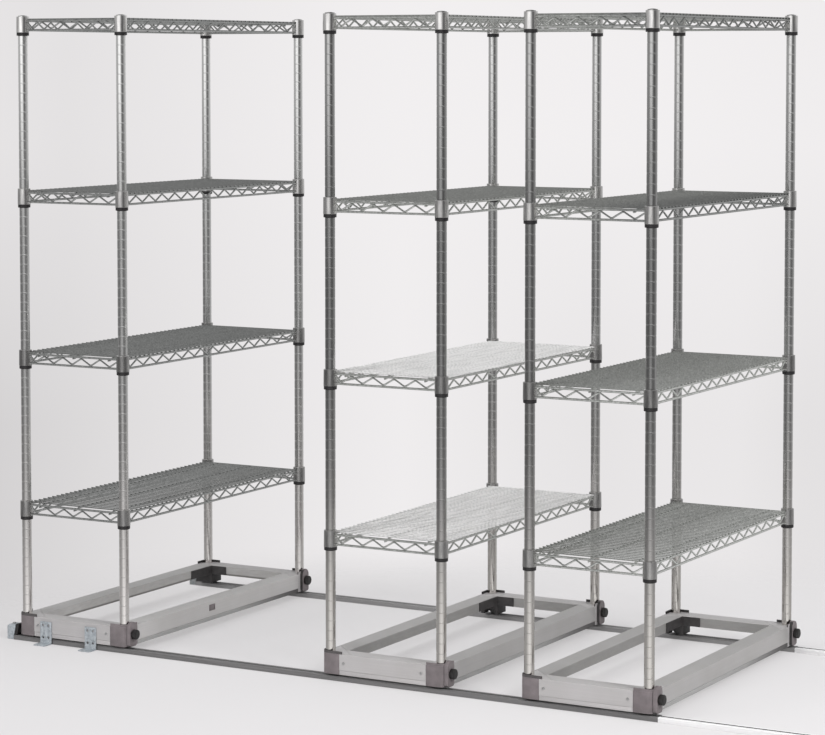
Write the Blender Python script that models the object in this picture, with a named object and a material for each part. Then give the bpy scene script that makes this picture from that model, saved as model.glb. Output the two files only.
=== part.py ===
"""Compact mobile shelving: three wire-shelf units on two floor tracks.

The left unit is bolted down, and the middle and right units roll along the tracks on four wheels each.
Metres, +Z up. X runs along the tracks, Y from the front track to the rear one. The origin lies on the
floor under the axis of the fixed unit's front left post, in the middle of the front track.
"""

import math

import bmesh
import bpy
from mathutils import Vector

# Clearances shared by all pieces
SEAT_GAP = 0.0003
RUNNING_GAP = 0.002
OVERRUN = 0.006

# Shelf unit in plan: distances between post axes
POST_SPACING_X = 0.318
POST_SPACING_Y = 0.8764

# Places of the units along the tracks: their front left post axes
MIDDLE_UNIT_X = 0.9525
END_UNIT_X = 1.513

# Posts: a rolled tube with a cap pressed into its top
POST_DIAMETER = 0.0254
POST_WALL = 0.0016
POST_LENGTH = 1.6002
POST_SIDES = 8
GROOVE_PITCH = 0.0254
CAP_DEPTH = 0.008
CAP_DOME = 0.0015

# Floor track: a low extrusion with a guide groove along its top
TRACK_WIDTH = 0.030
TRACK_HEIGHT = 0.012
TRACK_CHAMFER = 0.002
TRACK_LEFT_OVERHANG = 0.070
TRACK_LENGTH = 2.510
GROOVE_WIDTH = 0.008
GROOVE_DEPTH = 0.006
END_LUG_LENGTH = 0.012
END_LUG_HEIGHT = 0.040
END_LUG_BEVEL = 0.008

# Base rails: a channel with a full outer wall and a shorter inner leg
RAIL_HEIGHT = 0.059
RAIL_WIDTH = 0.050
RAIL_OUTSET = 0.017
RAIL_WALL = 0.004
RAIL_TOP_WALL = 0.003
RAIL_LEG_HEIGHT = 0.032
RAIL_STRIP_HEIGHT = 0.012
RAIL_STRIP_RECESS = 0.0015
FLOOR_CLEARANCE = 0.005

# Corner castings: a wheel housing below, a gusset between the rails above, and a spigot for the post
CASTING_REACH = 0.037
GUSSET_REACH = 0.075
CASTING_ARC_STEPS = 3
LEG_CLEARANCE = 0.0006
SPIGOT_HEIGHT = 0.030
LOBE_WIDTH = 0.034
LOBE_DEPTH = 0.008
LOBE_RISE = 0.006
LOBE_INSET = 0.005
LOBE_ARC_STEPS = 4

# Bumpers: rubber knobs on the right-hand castings
BUMPER_DIAMETER = 0.026
BUMPER_LENGTH = 0.013
BUMPER_BEVEL = 0.003
BUMPER_HEIGHT_SHARE = 0.55
BUMPER_SIDES = 10

# Wheels: a flanged roller in each casting of the units that move
WHEEL_DIAMETER = 0.034
WHEEL_WIDTH = 0.016
FLANGE_DEPTH = 0.003
FLANGE_WIDTH = 0.007
WHEEL_SETBACK = 0.010
WHEEL_SIDES = 10
AXLE_DIAMETER = 0.008
AXLE_SEAT = 0.003
FOOT_LENGTH = 0.030

# Wire shelves: corner collars, two edge wires a side, a zigzag truss between them and a mat on top.
# The top shelf clips on the highest groove that leaves its collars room, the others at shares of that.
SHELF_HEIGHT_SHARES = (0.165, 0.427, 0.705, 1.0)
COLLAR_HEIGHT = 0.042
COLLAR_DIAMETER = 0.038
COLLAR_TAPER = 0.0007
COLLAR_OFFSET = 0.0065
COLLAR_SEAT = 0.0025
EDGE_WIRE_DIAMETER = 0.006
TRUSS_WIRE_DIAMETER = 0.0046
MAT_WIRE_DIAMETER = 0.0042
EDGE_WIRE_DROP = 0.011
EDGE_WIRE_LIFT = 0.0065
WIRE_WELD = 0.001
LONG_TRUSS_BAYS = 7
SHORT_TRUSS_BAYS = 3
MAT_WIRES = 6
SHARPEST_MITRE = math.radians(40)
EDGE_WIRE_SIDES = 4
THIN_WIRE_SIDES = 3

# Floor brackets that hold the fixed unit
BRACKET_WIDTH = 0.036
BRACKET_HEIGHT = 0.060
BRACKET_FOOT = 0.030
BRACKET_THICKNESS = 0.003
BRACKET_HOLE = 0.007
BRACKET_HOLE_SPACING_X = 0.0175
BRACKET_HOLE_SPACING_Z = 0.032
BRACKET_LOW_HOLE = 0.018
BRACKET_PLACES = (0.075, 0.221)
HOLE_SIDES = 6

# End stops at the left end of each track: a steel block and a leaning rubber pad
STOP_HEIGHT = 0.028
STOP_PAD_RISE = 0.003
STOP_LENGTH = 0.038
STOP_PAD_THICKNESS = 0.009
STOP_PAD_LEAN = 0.007
STOP_BEVEL = 0.005
STOP_WIDTH = 0.030

# Values that follow from the sizes above
BASE_BOTTOM = TRACK_HEIGHT + FLOOR_CLEARANCE
BASE_TOP = BASE_BOTTOM + RAIL_HEIGHT
POST_RADIUS = POST_DIAMETER / 2
POST_BORE = POST_RADIUS - POST_WALL
POST_BOTTOM = BASE_TOP + SEAT_GAP
OCTAGON_GAP = SEAT_GAP / math.cos(math.pi / POST_SIDES)
POST_PHASE = math.pi / POST_SIDES
WHEEL_CENTRE_Z = TRACK_HEIGHT + SEAT_GAP + WHEEL_DIAMETER / 2
FLANGE_RADIUS = WHEEL_DIAMETER / 2 + FLANGE_DEPTH
HOUSING_TOP = BASE_TOP - RAIL_LEG_HEIGHT - LEG_CLEARANCE
TOP_GROOVE = math.floor((POST_LENGTH - COLLAR_OFFSET - COLLAR_HEIGHT) / GROOVE_PITCH)
CORNERS = {
    "front_left": (-1, -1),
    "front_right": (1, -1),
    "rear_left": (-1, 1),
    "rear_right": (1, 1),
}
UNITS = {"fixed": 0.0, "middle": MIDDLE_UNIT_X, "end": END_UNIT_X}
RIGHT_ANGLE = math.pi / 2
TURN = 2 * math.pi
SMOOTH_ANGLE = math.radians(40)


def clear_scene():
    for old in list(bpy.data.objects):
        bpy.data.objects.remove(old, do_unlink=True)


def material(name, colour, metallic, roughness):
    made = bpy.data.materials.new(name)
    made.use_nodes = True
    shader = made.node_tree.nodes["Principled BSDF"]
    shader.inputs["Base Color"].default_value = (*colour, 1.0)
    shader.inputs["Metallic"].default_value = metallic
    shader.inputs["Roughness"].default_value = roughness
    made.diffuse_color = (*colour, 1.0)
    return made


def solid(name, bm):
    """An object from a bmesh, with its normals outwards."""
    bmesh.ops.recalc_face_normals(bm, faces=bm.faces)
    mesh = bpy.data.meshes.new(name)
    bm.to_mesh(mesh)
    bm.free()
    made = bpy.data.objects.new(name, mesh)
    bpy.context.scene.collection.objects.link(made)
    return made


def combine(target, tool, operation):
    """Joins the tool to the target or cuts it out, and leaves the result as the target's own mesh."""
    step = target.modifiers.new(operation.lower(), "BOOLEAN")
    step.operation = operation
    step.solver = "EXACT"
    step.object = tool
    bpy.context.view_layer.update()
    graph = bpy.context.evaluated_depsgraph_get()
    result = bpy.data.meshes.new_from_object(target.evaluated_get(graph))
    target.modifiers.clear()
    target.data = result
    bpy.data.objects.remove(tool, do_unlink=True)
    return target


def smooth(made):
    made.data.shade_smooth()
    made.data.set_sharp_from_angle(angle=SMOOTH_ANGLE)
    return made


def place(name, mesh, finish, at, parent=None):
    """A named piece that shows the mesh, at a place in its parent's frame."""
    made = bpy.data.objects.new(name, mesh)
    bpy.context.scene.collection.objects.link(made)
    made.location = at
    made.parent = parent
    if finish.name not in mesh.materials:
        mesh.materials.append(finish)
    return made


def prism(outline, axis, low, high):
    """A straight solid. The outline lies in the two other axes, in X, Y, Z order."""
    bm = bmesh.new()

    def corner(point, level):
        found = list(point)
        found.insert("XYZ".index(axis), level)
        return bm.verts.new(found)

    start = [corner(point, low) for point in outline]
    end = [corner(point, high) for point in outline]
    bm.faces.new(start)
    bm.faces.new(end[::-1])
    for i in range(len(outline)):
        j = (i + 1) % len(outline)
        bm.faces.new((start[i], end[i], end[j], start[j]))
    return bm


def turned(profile, sides, centre, axis="Z", phase=0.0, closed=False, bm=None):
    """A profile of (radius, height) points spun round the axis through the centre."""
    bm = bm or bmesh.new()
    direction = Vector([float(letter == axis) for letter in "XYZ"])
    across = Vector((0, 0, 1)) if axis != "Z" else Vector((1, 0, 0))
    side = direction.cross(across)
    out = across * math.cos(phase) + side * math.sin(phase)
    points = [bm.verts.new(Vector(centre) + out * radius + direction * height) for radius, height in profile]
    pairs = list(zip(points, points[1:]))
    if closed:
        pairs.append((points[-1], points[0]))
    edges = [bm.edges.new(pair) for pair in pairs]
    bmesh.ops.spin(bm, geom=points + edges, cent=centre, axis=direction, angle=TURN, steps=sides)
    bmesh.ops.remove_doubles(bm, verts=bm.verts, dist=SEAT_GAP / 100)
    return bm


def wire(points, radius, sides, plane_normal, phase, bm):
    """A bent wire of a few sides through points that lie in one plane, mitred at each bend."""
    points = [Vector(point) for point in points]
    normal = Vector(plane_normal)
    rings = []
    for i, point in enumerate(points):
        before = (point - points[max(i - 1, 0)]).normalized()
        after = (points[min(i + 1, len(points) - 1)] - point).normalized()
        before = before if before.length else after
        after = after if after.length else before
        tangent = (before + after).normalized()
        across = normal.cross(tangent)
        stretch = 1 / max(tangent.dot(after), math.sin(SHARPEST_MITRE))
        ring = []
        for k in range(sides):
            turn = phase + TURN * k / sides
            offset = across * math.cos(turn) * stretch + normal * math.sin(turn)
            ring.append(bm.verts.new(point + offset * radius))
        rings.append(ring)
    for first, second in zip(rings, rings[1:]):
        for k in range(sides):
            m = (k + 1) % sides
            bm.faces.new((first[k], first[m], second[m], second[k]))
    bm.faces.new(rings[0][::-1])
    bm.faces.new(rings[-1])


def arc(centre, radius, start, stop, steps):
    return [
        (centre[0] + radius * math.cos(start + (stop - start) * i / steps),
         centre[1] + radius * math.sin(start + (stop - start) * i / steps))
        for i in range(steps + 1)
    ]


def make_post():
    """A tube with an open foot for the spigot and a domed cap in its top."""
    profile = [
        (0, POST_LENGTH - CAP_DEPTH),
        (POST_BORE, POST_LENGTH - CAP_DEPTH),
        (POST_BORE, 0),
        (POST_RADIUS, 0),
        (POST_RADIUS, POST_LENGTH),
        (0, POST_LENGTH + CAP_DOME),
    ]
    return smooth(solid("post", turned(profile, POST_SIDES, (0, 0, 0), phase=POST_PHASE)))


def make_shelf():
    """One wire shelf. Its origin is the axis of the front left collar, at the collar's lower edge."""
    collars = bmesh.new()
    bore = POST_RADIUS + OCTAGON_GAP
    outer = COLLAR_DIAMETER / 2
    profile = [(bore, 0), (outer, 0), (outer - COLLAR_TAPER, COLLAR_HEIGHT), (bore, COLLAR_HEIGHT)]
    for x in (0, POST_SPACING_X):
        for y in (0, POST_SPACING_Y):
            turned(profile, POST_SIDES, (x, y, 0), phase=POST_PHASE, closed=True, bm=collars)
    shelf = solid("shelf", collars)
    edge_radius = EDGE_WIRE_DIAMETER / 2
    upper = COLLAR_HEIGHT - EDGE_WIRE_DROP
    lower = EDGE_WIRE_LIFT
    inset = bore + COLLAR_SEAT
    square = math.pi / EDGE_WIRE_SIDES
    edges = bmesh.new()
    for level in (lower, upper):
        for y in (0, POST_SPACING_Y):
            ends = [(inset, y, level), (POST_SPACING_X - inset, y, level)]
            wire(ends, edge_radius, EDGE_WIRE_SIDES, (0, 0, 1), square, edges)
        for x in (0, POST_SPACING_X):
            ends = [(x, inset, level), (x, POST_SPACING_Y - inset, level)]
            wire(ends, edge_radius, EDGE_WIRE_SIDES, (0, 0, 1), square, edges)
    combine(shelf, solid("edge_wires", edges), "UNION")
    combine(shelf, solid("truss_wires", truss_wires(lower, upper, inset)), "UNION")
    combine(shelf, solid("mat_wires", mat_wires(upper)), "UNION")
    return smooth(shelf)


def zigzag(start, stop, low, high, bays):
    """Stations and levels of a truss wire that rises and falls once in each bay."""
    step = (stop - start) / (2 * bays)
    return [(start + step * i, high if i % 2 else low) for i in range(2 * bays + 1)]


def truss_wires(lower, upper, inset):
    """The four zigzag wires, just clear of the edge wires and let into the collars at both ends."""
    bm = bmesh.new()
    radius = TRUSS_WIRE_DIAMETER / 2
    room = EDGE_WIRE_DIAMETER / 2 + SEAT_GAP
    for length, bays, along_x in (
        (POST_SPACING_X, SHORT_TRUSS_BAYS, True),
        (POST_SPACING_Y, LONG_TRUSS_BAYS, False),
    ):
        start = inset
        stop = length - inset
        slope = math.atan2(upper - lower, (stop - start) / (2 * bays))
        reach = room + radius / math.cos(slope)
        for side in (0, POST_SPACING_Y if along_x else POST_SPACING_X):
            stations = zigzag(start, stop, lower + reach, upper - reach, bays)
            if along_x:
                points = [(s, side, z) for s, z in stations]
                wire(points, radius, THIN_WIRE_SIDES, (0, 1, 0), 0, bm)
            else:
                points = [(side, s, z) for s, z in stations]
                wire(points, radius, THIN_WIRE_SIDES, (1, 0, 0), 0, bm)
    return bm


def mat_wires(upper):
    """Cross wires welded on top of the two long edge wires."""
    bm = bmesh.new()
    radius = MAT_WIRE_DIAMETER / 2
    flat = EDGE_WIRE_DIAMETER / 2 * math.cos(math.pi / EDGE_WIRE_SIDES)
    level = upper + flat + radius - WIRE_WELD
    step = POST_SPACING_Y / (MAT_WIRES + 1)
    for i in range(MAT_WIRES):
        y = step * (i + 1)
        ends = [(-flat, y, level), (POST_SPACING_X + flat, y, level)]
        wire(ends, radius, THIN_WIRE_SIDES, (0, 0, 1), RIGHT_ANGLE * 3, bm)
    return bm


def outer_corner(grow):
    """The casting's outer corner, round about the post. The notch that it stands in has a square one."""
    if grow:
        outer = RAIL_OUTSET + OVERRUN
        return outer, [(outer, outer)]
    return RAIL_OUTSET, arc((0, 0), RAIL_OUTSET, RIGHT_ANGLE, 0, CASTING_ARC_STEPS)


def gusset_outline(grow):
    """The casting's upper half in outward distances from the post axis, grown by a clearance."""
    outer, corner = outer_corner(grow)
    lap = -(CASTING_REACH + grow)
    wall = RAIL_OUTSET - RAIL_WALL - SEAT_GAP + grow / 3
    diagonal = GUSSET_REACH - RAIL_OUTSET + grow * math.sqrt(2)
    return [
        (lap, outer),
        *corner,
        (outer, lap),
        (wall, lap),
        (wall, -diagonal - wall),
        (-diagonal - wall, wall),
        (lap, wall),
    ]


def housing_outline(grow):
    """The casting's lower half: the wheel housing, square on the inside and round at the post."""
    outer, corner = outer_corner(grow)
    inner = -(CASTING_REACH + grow)
    return [(inner, outer), *corner, (outer, inner), (inner, inner)]


def casting_blank(grow, low, middle, high, signs):
    """The two halves of a casting as two solids, in the unit's directions at this corner."""
    made = []
    for outline, bottom, top in (
        (housing_outline(grow), low, middle),
        (gusset_outline(grow), middle, high),
    ):
        flipped = [(x * signs[0], y * signs[1]) for x, y in outline]
        made.append(solid("blank", prism(flipped, "Z", bottom, top)))
    return made


def rectangle(x, half_x, half_y):
    return [(x - half_x, -half_y), (x + half_x, -half_y), (x + half_x, half_y), (x - half_x, half_y)]


def make_casting(signs, rolling):
    """A corner casting. Its origin is on the floor under the post axis."""
    housing, gusset = casting_blank(0, BASE_BOTTOM, HOUSING_TOP, BASE_TOP, signs)
    made = combine(housing, gusset, "UNION")
    wheel_x = -signs[0] * WHEEL_SETBACK
    if rolling:
        half = FLANGE_RADIUS + RUNNING_GAP
        side = WHEEL_WIDTH / 2 + RUNNING_GAP
        top = WHEEL_CENTRE_Z + half
        pocket = prism(rectangle(wheel_x, half, side), "Z", BASE_BOTTOM - OVERRUN, top)
        combine(made, solid("pocket", pocket), "DIFFERENCE")
        reach = side + AXLE_SEAT
        pin = [(0, -reach), (AXLE_DIAMETER / 2, -reach), (AXLE_DIAMETER / 2, reach), (0, reach)]
        axle = turned(pin, POST_SIDES, (wheel_x, 0, WHEEL_CENTRE_Z), axis="Y", phase=POST_PHASE)
        combine(made, solid("axle", axle), "UNION")
    else:
        outline = rectangle(wheel_x, FOOT_LENGTH / 2, WHEEL_WIDTH / 2)
        foot = prism(outline, "Z", TRACK_HEIGHT + SEAT_GAP, BASE_BOTTOM + OVERRUN)
        combine(made, solid("foot", foot), "UNION")
    spigot_radius = POST_BORE - OCTAGON_GAP
    spigot = [(0, -OVERRUN), (spigot_radius, -OVERRUN), (spigot_radius, SPIGOT_HEIGHT), (0, SPIGOT_HEIGHT)]
    combine(made, solid("spigot", turned(spigot, POST_SIDES, (0, 0, BASE_TOP), phase=POST_PHASE)), "UNION")
    if signs[0] > 0:
        combine(made, solid("lobe", lobe(signs)), "UNION")
    return smooth(made)


def bumper_centre(signs):
    """Where a bumper's axis meets the floor plane of its casting, and its height."""
    return -signs[1] * LOBE_INSET, BASE_BOTTOM + RAIL_HEIGHT * BUMPER_HEIGHT_SHARE


def lobe(signs):
    """The arch-topped pad on a right-hand casting, clear of the post, that carries the bumper."""
    y, _ = bumper_centre(signs)
    half = LOBE_WIDTH / 2
    spring = BASE_TOP + LOBE_RISE - half
    arch = arc((y, spring), half, 0, math.pi, LOBE_ARC_STEPS)
    outline = [(y - half, BASE_BOTTOM), (y + half, BASE_BOTTOM), *arch]
    return prism(outline, "X", RAIL_OUTSET - OVERRUN / 2, RAIL_OUTSET + LOBE_DEPTH)


def make_bumper():
    """A rubber knob. Its origin is the centre of its seat, and it points along +X."""
    radius = BUMPER_DIAMETER / 2
    profile = [
        (0, 0),
        (radius, 0),
        (radius, BUMPER_LENGTH - BUMPER_BEVEL),
        (radius - BUMPER_BEVEL, BUMPER_LENGTH),
        (0, BUMPER_LENGTH),
    ]
    return smooth(solid("bumper", turned(profile, BUMPER_SIDES, (0, 0, 0), axis="X")))


def make_wheel():
    """A roller with a guide flange round its middle. Its origin is its centre, on its axle."""
    bore = AXLE_DIAMETER / 2 + OCTAGON_GAP
    tread = WHEEL_DIAMETER / 2
    half = WHEEL_WIDTH / 2
    root = FLANGE_WIDTH / 2
    profile = [
        (0, -half),
        (tread, -half),
        (tread, -root),
        (FLANGE_RADIUS, 0),
        (tread, root),
        (tread, half),
        (0, half),
    ]
    rim = turned(profile, WHEEL_SIDES, (0, 0, 0), axis="Y")
    hole = [(0, -half - OVERRUN), (bore, -half - OVERRUN), (bore, half + OVERRUN), (0, half + OVERRUN)]
    hub = turned(hole, POST_SIDES, (0, 0, 0), axis="Y", phase=POST_PHASE)
    return smooth(combine(solid("wheel", rim), solid("bore", hub), "DIFFERENCE"))


def rail_section():
    """The channel in distances inwards from its outer face, and heights."""
    strip_top = BASE_BOTTOM + RAIL_STRIP_HEIGHT
    leg_bottom = BASE_TOP - RAIL_LEG_HEIGHT
    under_top = BASE_TOP - RAIL_TOP_WALL
    leg_face = RAIL_WIDTH - RAIL_TOP_WALL
    return [
        (0, BASE_TOP),
        (0, strip_top),
        (RAIL_STRIP_RECESS, strip_top),
        (RAIL_STRIP_RECESS, BASE_BOTTOM),
        (RAIL_WALL, BASE_BOTTOM),
        (RAIL_WALL, under_top),
        (leg_face, under_top),
        (leg_face, leg_bottom),
        (RAIL_WIDTH, leg_bottom),
        (RAIL_WIDTH, BASE_TOP),
    ]


def corner_axis(signs):
    return (POST_SPACING_X if signs[0] > 0 else 0, POST_SPACING_Y if signs[1] > 0 else 0)


def make_frame():
    """The four base rails round a unit, notched at each corner for its casting."""
    bm = bmesh.new()
    loop = [CORNERS[name] for name in ("front_left", "front_right", "rear_right", "rear_left")]
    rings = []
    for signs in loop:
        x, y = corner_axis(signs)
        rings.append([
            bm.verts.new((x + signs[0] * (RAIL_OUTSET - inward), y + signs[1] * (RAIL_OUTSET - inward), z))
            for inward, z in rail_section()
        ])
    count = len(rings[0])
    for i, ring in enumerate(rings):
        following = rings[(i + 1) % len(rings)]
        for k in range(count):
            m = (k + 1) % count
            bm.faces.new((ring[k], following[k], following[m], ring[m]))
    frame = solid("base_rails", bm)
    for signs in loop:
        x, y = corner_axis(signs)
        for tool in casting_blank(
            SEAT_GAP, BASE_BOTTOM - OVERRUN, HOUSING_TOP + SEAT_GAP, BASE_TOP + OVERRUN, signs
        ):
            tool.location = (x, y, 0)
            combine(frame, tool, "DIFFERENCE")
    return smooth(frame)


def make_track():
    """One floor track with its right-hand end lug. Its origin is on the floor under the left unit's post."""
    half = TRACK_WIDTH / 2
    groove = GROOVE_WIDTH / 2
    groove_floor = TRACK_HEIGHT - GROOVE_DEPTH
    outline = [
        (-half, 0),
        (half, 0),
        (half, TRACK_HEIGHT - TRACK_CHAMFER),
        (half - TRACK_CHAMFER, TRACK_HEIGHT),
        (groove, TRACK_HEIGHT),
        (groove, groove_floor),
        (-groove, groove_floor),
        (-groove, TRACK_HEIGHT),
        (TRACK_CHAMFER - half, TRACK_HEIGHT),
        (-half, TRACK_HEIGHT - TRACK_CHAMFER),
    ]
    right = TRACK_LENGTH - TRACK_LEFT_OVERHANG
    track = solid("track", prism(outline, "X", -TRACK_LEFT_OVERHANG, right))
    lug = [
        (right - END_LUG_LENGTH, groove_floor - OVERRUN / 2),
        (right - END_LUG_LENGTH, END_LUG_HEIGHT),
        (right - END_LUG_BEVEL, END_LUG_HEIGHT),
        (right, END_LUG_HEIGHT - END_LUG_BEVEL),
        (right, groove_floor - OVERRUN / 2),
    ]
    lug_half = half - TRACK_CHAMFER
    return combine(track, solid("lug", prism(lug, "Y", -lug_half, lug_half)), "UNION")


def make_stop():
    """A left end stop: block and leaning pad in one, on the track just left of the fixed casting."""
    bottom = TRACK_HEIGHT + SEAT_GAP
    top = bottom + STOP_HEIGHT
    face = -RAIL_OUTSET - RUNNING_GAP
    heel = face - STOP_PAD_LEAN
    back = face - STOP_LENGTH
    crest = heel - STOP_PAD_THICKNESS / 2
    outline = [
        (back, bottom),
        (heel, bottom),
        (face, top + STOP_PAD_RISE),
        (face - STOP_PAD_THICKNESS, top + STOP_PAD_RISE),
        (crest - STOP_PAD_THICKNESS / 2, top),
        (back + STOP_BEVEL, top),
        (back, top - STOP_BEVEL),
    ]
    return solid("stop", prism(outline, "Y", -STOP_WIDTH / 2, STOP_WIDTH / 2))


def make_bracket():
    """An angle bracket. Its origin is on the floor at the rail's face, in the middle of its width."""
    inside = -SEAT_GAP
    outside = inside - BRACKET_THICKNESS
    toe = outside - BRACKET_FOOT
    outline = [
        (inside, 0),
        (inside, BRACKET_HEIGHT),
        (outside, BRACKET_HEIGHT),
        (outside, BRACKET_THICKNESS),
        (toe, BRACKET_THICKNESS),
        (toe, 0),
    ]
    half = BRACKET_WIDTH / 2
    bracket = solid("bracket", prism(outline, "X", -half, half))
    holes = bmesh.new()
    radius = BRACKET_HOLE / 2
    near = outside - OVERRUN
    far = inside + OVERRUN
    drill = [(0, near), (radius, near), (radius, far), (0, far)]
    for x in (-BRACKET_HOLE_SPACING_X / 2, BRACKET_HOLE_SPACING_X / 2):
        for z in (BRACKET_LOW_HOLE, BRACKET_LOW_HOLE + BRACKET_HOLE_SPACING_Z):
            turned(drill, HOLE_SIDES, (x, 0, z), axis="Y", bm=holes)
    return combine(bracket, solid("drills", holes), "DIFFERENCE")


def keep_mesh(made):
    """The mesh of a pattern object, which itself goes."""
    mesh = made.data
    bpy.data.objects.remove(made, do_unlink=True)
    return mesh


def build():
    clear_scene()
    zinc = material("zinc_plated_post", (0.62, 0.62, 0.60), 1.0, 0.32)
    chrome = material("bright_wire", (0.46, 0.47, 0.46), 1.0, 0.30)
    aluminium = material("anodised_rail", (0.60, 0.59, 0.57), 0.6, 0.45)
    cast = material("cast_grey", (0.21, 0.19, 0.18), 0.5, 0.55)
    rubber = material("black_rubber", (0.02, 0.018, 0.018), 0.0, 0.6)
    roller = material("roller_nylon", (0.08, 0.08, 0.08), 0.0, 0.45)
    track_grey = material("track_grey", (0.16, 0.16, 0.16), 0.7, 0.45)
    galvanised = material("galvanised_steel", (0.58, 0.62, 0.65), 0.8, 0.5)

    post = keep_mesh(make_post())
    shelf = keep_mesh(make_shelf())
    frame = keep_mesh(make_frame())
    bumper = keep_mesh(make_bumper())
    wheel = keep_mesh(make_wheel())
    track = keep_mesh(make_track())
    stop = keep_mesh(make_stop())
    bracket = keep_mesh(make_bracket())

    for unit, unit_x in UNITS.items():
        carrier = bpy.data.objects.new(f"{unit}_unit", None)
        carrier.location = (unit_x, 0, 0)
        bpy.context.scene.collection.objects.link(carrier)
        place(f"{unit}_base_rails", frame, aluminium, (0, 0, 0), carrier)
        for i, share in enumerate(SHELF_HEIGHT_SHARES):
            level = POST_BOTTOM + round(share * TOP_GROOVE) * GROOVE_PITCH + COLLAR_OFFSET
            place(f"{unit}_shelf_{i + 1}", shelf, chrome, (0, 0, level), carrier)
        rolling = unit != "fixed"
        for corner, signs in CORNERS.items():
            x, y = corner_axis(signs)
            place(f"{unit}_{corner}_post", post, zinc, (x, y, POST_BOTTOM), carrier)
            casting = keep_mesh(make_casting(signs, rolling))
            place(f"{unit}_{corner}_casting", casting, cast, (x, y, 0), carrier)
            if signs[0] > 0:
                inward, height = bumper_centre(signs)
                seat = x + RAIL_OUTSET + LOBE_DEPTH + SEAT_GAP
                place(f"{unit}_{corner}_bumper", bumper, rubber, (seat, y + inward, height), carrier)
            if rolling:
                hub = (x - signs[0] * WHEEL_SETBACK, y, WHEEL_CENTRE_Z)
                place(f"{unit}_{corner}_wheel", wheel, roller, hub, carrier)

    for side, y in (("front", 0), ("rear", POST_SPACING_Y)):
        place(f"{side}_track", track, track_grey, (0, y, 0))
        place(f"{side}_end_stop", stop, galvanised, (0, y, 0))
    for name, x in zip(("left", "right"), BRACKET_PLACES):
        place(f"{name}_floor_bracket", bracket, galvanised, (x, -RAIL_OUTSET, 0))


build()
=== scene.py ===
# %% [markdown]
# Compact mobile shelving, dressed for a picture.
# Three wire-shelf units stand on two floor tracks. The left one is bolted down, and the other two roll along the
# tracks on flanged wheels. The engineering model is loaded first and stays as it is: every piece made here stands
# where its solid stands, rides on the same moving body, and brings the form and finish that the eye looks for.

# %% Load the engineering model
import math
import bmesh
import bpy
from mathutils import Matrix, Vector


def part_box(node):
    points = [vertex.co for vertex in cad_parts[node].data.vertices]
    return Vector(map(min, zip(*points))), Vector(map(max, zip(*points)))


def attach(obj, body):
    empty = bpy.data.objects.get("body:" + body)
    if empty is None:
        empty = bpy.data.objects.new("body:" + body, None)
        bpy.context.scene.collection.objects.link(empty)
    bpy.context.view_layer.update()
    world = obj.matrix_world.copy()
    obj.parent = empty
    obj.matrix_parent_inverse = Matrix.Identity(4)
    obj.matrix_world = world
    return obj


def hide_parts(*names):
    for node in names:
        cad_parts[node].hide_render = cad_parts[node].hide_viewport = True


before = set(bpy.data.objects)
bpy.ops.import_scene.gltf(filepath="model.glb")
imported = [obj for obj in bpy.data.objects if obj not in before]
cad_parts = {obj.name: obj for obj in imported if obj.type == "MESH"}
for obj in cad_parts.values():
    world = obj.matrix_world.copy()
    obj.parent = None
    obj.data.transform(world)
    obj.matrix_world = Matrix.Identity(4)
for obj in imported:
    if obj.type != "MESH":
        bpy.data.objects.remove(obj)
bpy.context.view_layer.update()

# %% [markdown]
# Sizes come first, in metres, with the floor at zero. X runs along the tracks and Y from the front track to the
# rear one. They are the sizes of the solids, so that a detailed piece fits where its plain solid was.

# %% Sizes of the whole
POST_SPACING_X = 0.318
POST_SPACING_Y = 0.8764
UNITS = {"fixed": 0.0, "middle": 0.9525, "end": 1.513}
BODY_OF_UNIT = {"fixed": "tracks", "middle": "middle_carriage", "end": "end_carriage"}
CORNERS = {"front_left": (-1, -1), "front_right": (1, -1), "rear_left": (-1, 1), "rear_right": (1, 1)}
POST_RADIUS = 0.0127
POST_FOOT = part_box("fixed_front_left_post")[0].z
GROOVE_PITCH = 0.0254
POST_PITCHES = 63
TRACK_HEIGHT = 0.012
BASE_BOTTOM = 0.017
BASE_TOP = 0.076
SHELF_LEVELS = [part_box(f"fixed_shelf_{i}")[0].z for i in (1, 2, 3, 4)]
print("shelf levels:", [round(z, 4) for z in SHELF_LEVELS], "post foot:", round(POST_FOOT, 4))

def corner_axis(signs):
    """The post axis at a corner, measured from the unit's front left post."""
    return (POST_SPACING_X if signs[0] > 0 else 0.0, POST_SPACING_Y if signs[1] > 0 else 0.0)

# %% [markdown]
# The camera comes first, because it decides what matters. Its place, tilt and lens were fitted to the post axes
# and shelf collars of the photograph. A small shift keeps the posts upright in the frame.

# %% Camera
bpy.ops.object.camera_add(location=(4.4609, -5.8236, 1.5491), rotation=(math.pi / 2 - 0.0591, 0, 0.5119))
camera = bpy.context.object
camera.name = "camera"
camera.data.sensor_width = 36
camera.data.lens = 118.87
camera.data.shift_y = -0.1727
camera.data.clip_end = 100
bpy.context.scene.camera = camera
bpy.context.scene.view_settings.view_transform = "Standard"
print("camera lens:", round(camera.data.lens, 1), "mm")

# %% [markdown]
# A few helpers keep the modelling steps short. Blender's operators act on whatever is selected, so each step
# starts from an empty selection, and faces or edges are then picked by where they lie or which way they face.

# %% Helpers for selecting
def nothing_selected():
    if bpy.context.object and bpy.context.object.mode != "OBJECT":
        bpy.ops.object.mode_set(mode="OBJECT")
    bpy.ops.object.select_all(action="DESELECT")

def only(thing):
    """Makes one object the selected and active one."""
    nothing_selected()
    thing.select_set(True)
    bpy.context.view_layer.objects.active = thing
    return thing

def edit(thing):
    """Opens a mesh with everything selected."""
    only(thing)
    bpy.ops.object.mode_set(mode="EDIT")
    bpy.ops.mesh.select_all(action="SELECT")

def leave():
    bpy.ops.object.mode_set(mode="OBJECT")
    return bpy.context.object

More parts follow.
